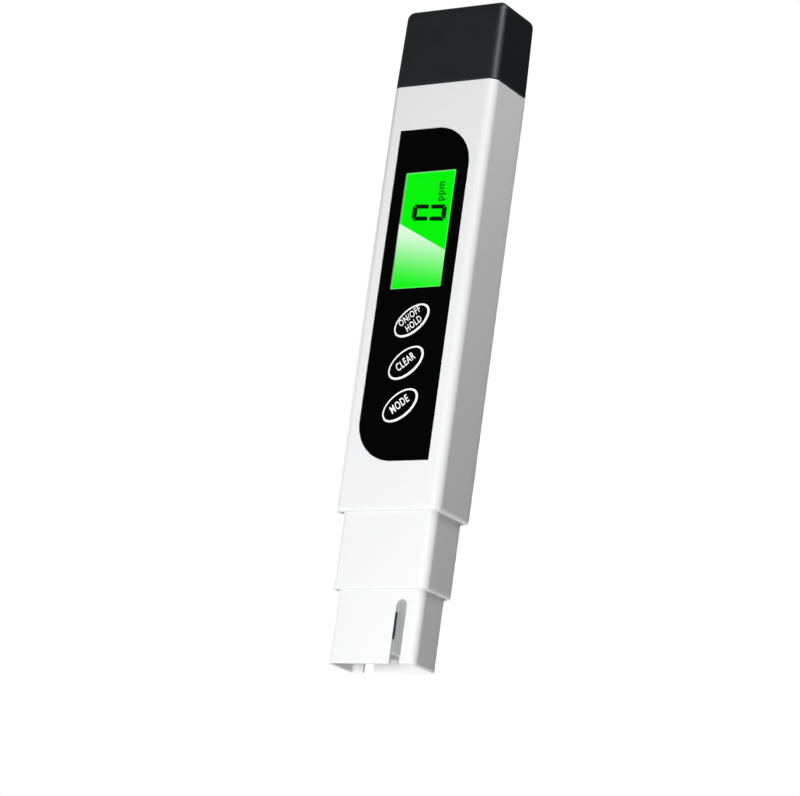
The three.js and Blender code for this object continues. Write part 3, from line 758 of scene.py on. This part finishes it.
FINISH = {
    "white_plastic": moulded(
        "white_abs", (0.86, 0.86, 0.865), 0.34, drift=0.012, worn_and_highlit_tone=(0.93, 0.93, 0.93)
    ),
    "black_plastic": moulded(
        "black_abs",
        (0.0025, 0.0027, 0.0032),
        0.43,
        grain_mm=0.1,
        grain_depth=0.003,
        drift=0.1,
        # bluish edge band: a painted highlight along the black plastic's edges
        worn_and_highlit_tone=(0.012, 0.022, 0.036),
        Specular_IOR_Level=1.0,
        Specular_Tint=(0.86, 0.93, 1.0, 1.0),
    ),
    "inner_plastic": moulded(
        "natural_plastic", (0.86, 0.87, 0.87), 0.5, grain_mm=0.2, grain_depth=0.004, drift=0.05
    ),
    "faceplate_film": film("faceplate_film"),
    "clear_window": window_glass("display_window"),
    "display_green": display_green("display_green"),
    "light_guide": moulded(
        "light_guide", (0.5, 0.9, 0.45), 0.25, grain_mm=0.4, grain_depth=0.003
    ),
    "seal_rubber": rubber("seal_rubber"),
    "circuit_board": circuit_board("circuit_board"),
    "chip_epoxy": moulded(
        "chip_epoxy", (0.01, 0.01, 0.012), 0.55, grain_mm=0.08, grain_depth=0.004, drift=0.2
    ),
    "plated_steel": metal("plated_steel", (0.62, 0.63, 0.65), 0.28),
    "nickel_strip": metal("nickel_strip", (0.66, 0.63, 0.56), 0.24, stretch=(12, 1, 1)),
    "titanium": metal("titanium", (0.72, 0.71, 0.7), 0.5),
    "lead_red": insulation("red_insulation", (0.4, 0.012, 0.01)),
    "lead_black": insulation("black_insulation", (0.012, 0.012, 0.013)),
    "lead_white": insulation("white_insulation", (0.72, 0.72, 0.7), drift=0.05),
}
INK = print_ink("white_ink")
# Near-black metal for the slot electrodes, much darker than the other titanium.
DARK_TITANIUM = metal("near_black_titanium", (0.05, 0.05, 0.052), 0.5)

# ---------------------------------------------------------------- casing


def make_housing():
    bottom, top = HOUSING_LOW.z, HOUSING_HIGH.z
    root, floor = JOINT_Z - SPIGOT_DEPTH, bottom + SOCKET_DEPTH
    spigot = WALL + SPIGOT_STEP
    socket = HOUSING_HIGH.x - COLLAR_HIGH.x - FIT
    profile = (
        outer_lip(bottom, BODY_LIP)
        + rounded((0, JOINT_Z - JOINT_EDGE), (0, JOINT_Z), (JOINT_EDGE, JOINT_Z), 3)
        + [(spigot, JOINT_Z)]
        + seal_groove(spigot, JOINT_Z + SPIGOT_SEAL_RISE)
        + spigot_end(spigot, top)
        + [(*SPIGOT_BORE, top), (*SPIGOT_BORE, root), (WALL, root), (WALL, floor), (socket, floor)]
        + inner_lip(socket, bottom)
    )
    base = (HOUSING_HIGH.x, HOUSING_HIGH.y, BODY_CORNER)
    shell = loft("housing_shell", sections(base, profile), closed=True)
    outside = HOUSING_LOW.y - CUT_PAST
    through = (outside, HOUSING_LOW.y + WALL + CUT_PAST)
    cutters = [
        slab_cutter(face_outline(FIT), outside, FACE_HIGH.y + FACE_SINK),
        slab_cutter(rectangle(LCD_LOW, LCD_HIGH, OPENING_ROUND, DISPLAY_OPENING), *through),
    ]
    for key in KEYS:
        opening = oval(*key_centre(key), KEY_LONG + KEY_OPENING, KEY_SHORT + KEY_OPENING)
        cutters.append(slab_cutter(opening, *through))
    carve(shell, cutters)
    settle(shell, "tester", FINISH["white_plastic"], ["housing"])


def make_cap():
    low, top = CAP_LOW.z, CAP_HIGH.z
    roof = top - CAP_ROOF
    lean = (top - CAP_ROUND - low) / (top - low) * CAP_TAPER
    profile = (
        rounded((CAP_WALL + CAP_FILLET, roof), (CAP_WALL, roof), (CAP_WALL, roof - CAP_FILLET), 4)
        + [(CAP_WALL, low + CAP_CHAMFER), (CAP_WALL - CAP_CHAMFER, low)]
        + outer_lip(low, CAP_EDGE, 3)
        + rounded((lean, top - CAP_ROUND), (CAP_TAPER, top), (CAP_TAPER + CAP_ROUND, top), 9)
    )
    base = (CAP_HIGH.x, CAP_HIGH.y, BODY_CORNER)
    shell = loft("battery_cap_shell", sections(base, profile), closed=False)
    settle(shell, "cap", FINISH["black_plastic"], ["battery_cap"])


def make_collar():
    bottom, top = COLLAR_LOW.z, COLLAR_HIGH.z
    shoulder = HOUSING_LOW.z + PLUG_SHOULDER
    floor = SHROUD_HIGH.z + PLUG_GAP
    plug = COLLAR_HIGH.x - (HOUSING_HIGH.x - WALL - PLUG_GAP)
    socket = COLLAR_HIGH.x - SHROUD_HIGH.x - FIT
    profile = (
        outer_lip(bottom, COLLAR_LIP)
        + [(0, shoulder), (plug, shoulder)]
        + seal_groove(plug, HOUSING_LOW.z + PLUG_SEAL_RISE)
        + spigot_end(plug, top)
        + [(*WIREWAY, top), (*WIREWAY, floor), (socket, floor)]
        + inner_lip(socket, bottom)
    )
    base = (COLLAR_HIGH.x, COLLAR_HIGH.y, COLLAR_CORNER)
    shell = loft("probe_collar_shell", sections(base, profile), closed=True)
    settle(shell, "tester", FINISH["white_plastic"], ["probe_collar"])


def slot_outline(x):
    radius = SLOT_WIDTH / 2
    top = COLLAR_LOW.z - SLOT_BELOW_COLLAR - radius
    return [(x - radius, -CUT_PAST), (x + radius, -CUT_PAST), *arc(x, top, radius, 0, 180)]


def make_shroud():
    """The open lower sleeve, with a water slot in front and another behind."""
    half_x, half_y, top = SHROUD_HIGH
    room_x, room_y = half_x - ROOM_SIDE_WALL, half_y - ROOM_FACE_WALL
    room = (room_x, room_y, ROOM_CORNER)
    mouth = (room_x + MOUTH_FLARE, room_y + MOUTH_FLARE, MOUTH_CORNER, 0)
    profile = outer_lip(0, SHROUD_LIP, 6) + [(0, top), (*room, top), (*room, MOUTH_FLARE), mouth]
    base = (half_x, half_y, SHROUD_CORNER)
    shell = loft("probe_shroud_shell", sections(base, profile), closed=True)
    cutters = [
        slab_cutter(slot_outline(SLOT_X), -half_y - CUT_PAST, -half_y + SLOT_CUT),
        slab_cutter(slot_outline(-SLOT_X), half_y - SLOT_CUT, half_y + CUT_PAST),
    ]
    carve(shell, cutters)
    soften(shell, SLOT_EDGE)
    settle(shell, "tester", FINISH["white_plastic"], ["probe_shroud"])


# ---------------------------------------------------------------- faceplate, keys and legends


def make_faceplate():
    holes = [rectangle(WINDOW_LOW, WINDOW_HIGH, WINDOW_ROUND, WINDOW_GAP)]
    for key in KEYS:
        holes.append(oval(*key_centre(key), KEY_LONG + FIT, KEY_SHORT + FIT))
    face = plate("faceplate_film", face_outline(), FACE_LOW.y, FACE_HIGH.y, holes)
    soften(face, FACE_EDGE, 2)
    settle(face, "tester", FINISH["faceplate_film"], ["faceplate"])


def make_window():
    outline = rectangle(WINDOW_LOW, WINDOW_HIGH, WINDOW_ROUND)
    window = plate("display_window_pane", outline, WINDOW_LOW.y, WINDOW_HIGH.y)
    settle(window, "tester", FINISH["clear_window"], ["lcd_window"])


def make_key(key):
    """A key's printed face, the flange that holds it behind the faceplate, and its switch pip."""
    node = f"{key}_key"
    low, high = box_mm(node)
    x, z = key_centre(key)
    flange = FACE_HIGH.y + KEY_FLANGE_GAP
    flange_back = flange + KEY_FLANGE_THICK
    face = plate("face", oval(x, z, KEY_LONG, KEY_SHORT), low.y, flange)
    soften(face, KEY_EDGE)
    outline = oval(x, z, KEY_LONG + KEY_FLANGE, KEY_SHORT + KEY_FLANGE)
    rim = plate("rim", outline, flange - FLANGE_ROOT, flange_back)
    pip = plate("pip", circle(x, z, KEY_PIP_RADIUS), flange_back - PIP_ROOT, high.y)
    cap = join(f"{key}_keycap", [face, rim, pip])
    settle(cap, f"{key}_button", FINISH["faceplate_film"], [node])


def make_key_ring(key):
    low, _ = box_mm(f"{key}_key")
    x, z = key_centre(key)
    shift_x, shift_z = RING_SHIFT
    outer = oval(x, z, KEY_LONG - RING_INSET, KEY_SHORT - RING_INSET)
    inner = oval(x + shift_x, z + shift_z, KEY_LONG - RING_WIDTH, KEY_SHORT - RING_WIDTH)
    ink = plate(f"{key}_key_ring", outer, low.y - INK_THICK, low.y + INK_SINK, [inner])
    settle(ink, f"{key}_button", INK)


def lettering(name, words, width, height, bold):
    """Words as a thin closed mesh, centred, facing -Y, fitted to a width and a height."""
    curve = bpy.data.curves.new(name, "FONT")
    curve.body = words
    curve.size = LETTER_SIZE
    curve.offset = bold
    curve.extrude = INK_THICK / 2
    curve.space_character = LETTER_SPACING
    curve.resolution_u = 6
    text = bpy.data.objects.new(name, curve)
    bpy.context.scene.collection.objects.link(text)
    bm = bmesh.new()
    bm.from_mesh(new_mesh(text))
    bpy.data.objects.remove(text)
    bmesh.ops.remove_doubles(bm, verts=bm.verts, dist=1e-4)
    low = Vector([min(v.co[i] for v in bm.verts) for i in range(3)])
    high = Vector([max(v.co[i] for v in bm.verts) for i in range(3)])
    size, centre = high - low, (low + high) / 2
    for vert in bm.verts:
        x = (vert.co.x - centre.x) * width / size.x
        up = (vert.co.y - centre.y) * height / size.y
        vert.co = Vector((x, -vert.co.z, up))
    return new_object(name, bm)


def place_lettering(obj, x, y, z, tilt):
    obj.data.transform(Matrix.Translation((x, y, z)) @ Matrix.Rotation(-tilt, 4, "Y"))


def make_legends(key):
    low, _ = box_mm(f"{key}_key")
    x, z = key_centre(key)
    for line, (words, width, height, lift) in enumerate(LEGENDS[key], 1):
        legend = lettering(f"{key}_legend_{line}", words, width, height, LEGEND_BOLD)
        lift_x, lift_z = -math.sin(KEY_TILT) * lift, math.cos(KEY_TILT) * lift
        place_lettering(legend, x + lift_x, low.y - INK_THICK / 2, z + lift_z, KEY_TILT)
        settle(legend, f"{key}_button", INK)


# ---------------------------------------------------------------- display contents


def blunt(points, cut):
    """The same outline with every corner cut off, so that its ends look rounded."""
    blunted = []
    for i, point in enumerate(points):
        here = Vector(point)
        for other in (points[i - 1], points[(i + 1) % len(points)]):
            blunted.append(tuple(here + (Vector(other) - here).normalized() * cut))
    return blunted


def digit_point(across, up):
    """A point of the upright digit on the display, where the digit's top points to -X."""
    return DIGIT_CENTRE[0] - up, DIGIT_CENTRE[1] + across + up * DIGIT_LEAN


def upright_segment(side, half):
    """One long bar: side is -1 left or 1 right, half is -1 lower or 1 upper."""
    outer, inner = side * DIGIT_WIDE / 2, side * (DIGIT_WIDE / 2 - STROKE)
    middle, end = half * BREAK * 0.7, half * (DIGIT_TALL / 2 - BREAK * 0.8)
    points = [
        (outer, middle),
        (outer, end),
        (inner, end - half * STROKE * 0.85),
        (inner, middle + half * 0.1),
    ]
    return [digit_point(*point) for point in blunt(points, END_CUT)]


def level_segment(half):
    """The bar across the digit's lower end (-1) or upper end (1)."""
    top, inner = half * DIGIT_TALL / 2, half * (DIGIT_TALL / 2 - STROKE * 1.3)
    reach = DIGIT_WIDE / 2 - BREAK * 0.9
    short_reach = reach - STROKE * 0.7
    points = [(-reach, top), (reach, top), (short_reach, inner), (-short_reach, inner)]
    return [digit_point(*point) for point in blunt(points, END_CUT)]


def make_display():
    ink = display_ink("display_segment", (0.0, 0.006, 0.0), (0.0, 0.02, 0.001))
    faint = display_ink("display_unit", (0.0, 0.1, 0.001), (0.0, 0.17, 0.002))
    back = LCD_LOW.y - SEGMENT_GAP
    front = back - SEGMENT_THICK
    outlines = [upright_segment(side, half) for side in (-1, 1) for half in (-1, 1)]
    outlines += [level_segment(half) for half in (-1, 1)]
    digit = join("display_digit", [plate("bar", outline, front, back) for outline in outlines])
    soften(digit, SEGMENT_EDGE, 1)
    settle(digit, "tester", ink)
    unit = lettering("display_unit_ppm", "ppm", UNIT_WIDE, UNIT_TALL, UNIT_BOLD)
    place_lettering(unit, UNIT_CENTRE[0], (front + back) / 2, UNIT_CENTRE[1], UNIT_TURN)
    settle(unit, "tester", faint)


# ---------------------------------------------------------------- parts kept from the CAD


def dress_cad_parts():
    """Gives every CAD part that no piece replaces its finish and softened edges."""
    slots = {row["node"]: row["material_slot"] for row in frame["record"]["subparts"]}
    for name, obj in frame["nodes"].items():
        if obj.hide_render:
            continue
        obj.data.materials.clear()
        dark = name.startswith("slot_electrode")
        obj.data.materials.append(DARK_TITANIUM if dark else FINISH[slots[name]])
        add_bevel(obj, CAD_EDGE * MM, 50, 2)
        smooth(obj)


# ---------------------------------------------------------------- studio


def make_floor():
    """A wide floor just under the tester. It shows in reflections, but throws no light or shade."""
    bm = bmesh.new()
    bmesh.ops.create_grid(bm, x_segments=8, y_segments=8, size=FLOOR_HALF * MM)
    mesh = bpy.data.meshes.new("studio_floor")
    bm.to_mesh(mesh)
    bm.free()
    floor = bpy.data.objects.new("studio_floor", mesh)
    bpy.context.scene.collection.objects.link(floor)
    mesh.materials.append(floor_finish("studio_floor"))
    floor.location.z = -FLOOR_DROP * MM
    floor.visible_diffuse = False
    floor.visible_shadow = False


def area_light(name, place, target, width, height, watts, sheen):
    """A rectangular light aimed at a target; sheen scales how strongly it shows in reflections."""
    light = bpy.data.lights.new(name, "AREA")
    light.shape = "RECTANGLE"
    light.size, light.size_y = width * MM, height * MM
    light.energy = watts
    light.specular_factor = sheen
    obj = bpy.data.objects.new(name, light)
    bpy.context.scene.collection.objects.link(obj)
    place, target = Vector(place) * MM, Vector(target) * MM
    obj.location = place
    obj.visible_camera = False
    obj.rotation_mode = "QUATERNION"
    obj.rotation_quaternion = (target - place).to_track_quat("-Z", "Z")


def make_world():
    """White to the camera. As a light it is a cool fill that fades towards the dark side."""
    world = bpy.data.worlds.new("studio")
    bpy.context.scene.world = world
    world.use_nodes = True
    tree = world.node_tree
    tree.nodes.clear()
    output = tree.nodes.new("ShaderNodeOutputWorld")
    seen, fill = tree.nodes.new("ShaderNodeBackground"), tree.nodes.new("ShaderNodeBackground")
    seen.inputs["Color"].default_value = (1, 1, 1, 1)
    fill.inputs["Color"].default_value = (0.97, 0.985, 1, 1)
    toward_dark = tree.nodes.new("ShaderNodeVectorMath")
    toward_dark.operation = "DOT_PRODUCT"
    tree.links.new(tree.nodes.new("ShaderNodeTexCoord").outputs["Generated"], toward_dark.inputs[0])
    toward_dark.inputs[1].default_value = Vector(DARK_SIDE).normalized()
    strength = tree.nodes.new("ShaderNodeMapRange")
    ranges = {"From Min": 0.0, "From Max": 0.8, "To Min": WORLD_FILL, "To Max": DARK_FILL}
    for key, value in ranges.items():
        strength.inputs[key].default_value = value
    tree.links.new(toward_dark.outputs["Value"], strength.inputs["Value"])
    tree.links.new(strength.outputs["Result"], fill.inputs["Strength"])
    path, mix = tree.nodes.new("ShaderNodeLightPath"), tree.nodes.new("ShaderNodeMixShader")
    tree.links.new(path.outputs["Is Camera Ray"], mix.inputs[0])
    tree.links.new(fill.outputs[0], mix.inputs[1])
    tree.links.new(seen.outputs[0], mix.inputs[2])
    tree.links.new(mix.outputs[0], output.inputs["Surface"])


def make_lights():
    for name, azimuth, distance, height, aim, width, tall, watts, sheen in LIGHTS:
        angle = math.radians(azimuth)
        place = (distance * math.sin(angle), -distance * math.cos(angle), height)
        area_light(name, place, aim, width, tall, watts, sheen)


def make_camera():
    """Looks up at the tester from its front right, rolled a little."""
    camera = bpy.data.cameras.new("camera")
    camera.lens = CAMERA_LENS
    camera.sensor_width = 36
    camera.clip_start, camera.clip_end = 0.01, 20
    obj = bpy.data.objects.new("camera", camera)
    bpy.context.scene.collection.objects.link(obj)
    place, target = Vector(CAMERA_PLACE) * MM, Vector(CAMERA_TARGET) * MM
    aim = (target - place).to_track_quat("-Z", "Y").to_matrix().to_4x4()
    roll = Matrix.Rotation(math.radians(CAMERA_ROLL), 4, "Z")
    obj.matrix_world = Matrix.Translation(place) @ aim @ roll
    bpy.context.scene.camera = obj


# ---------------------------------------------------------------- build

make_housing()
make_cap()
make_collar()
make_shroud()
make_faceplate()
make_window()
for key_name in KEYS:
    make_key(key_name)
    make_key_ring(key_name)
    make_legends(key_name)
make_display()
dress_cad_parts()
make_floor()
make_world()
make_lights()
make_camera()
bpy.context.scene.view_settings.view_transform = "Standard"
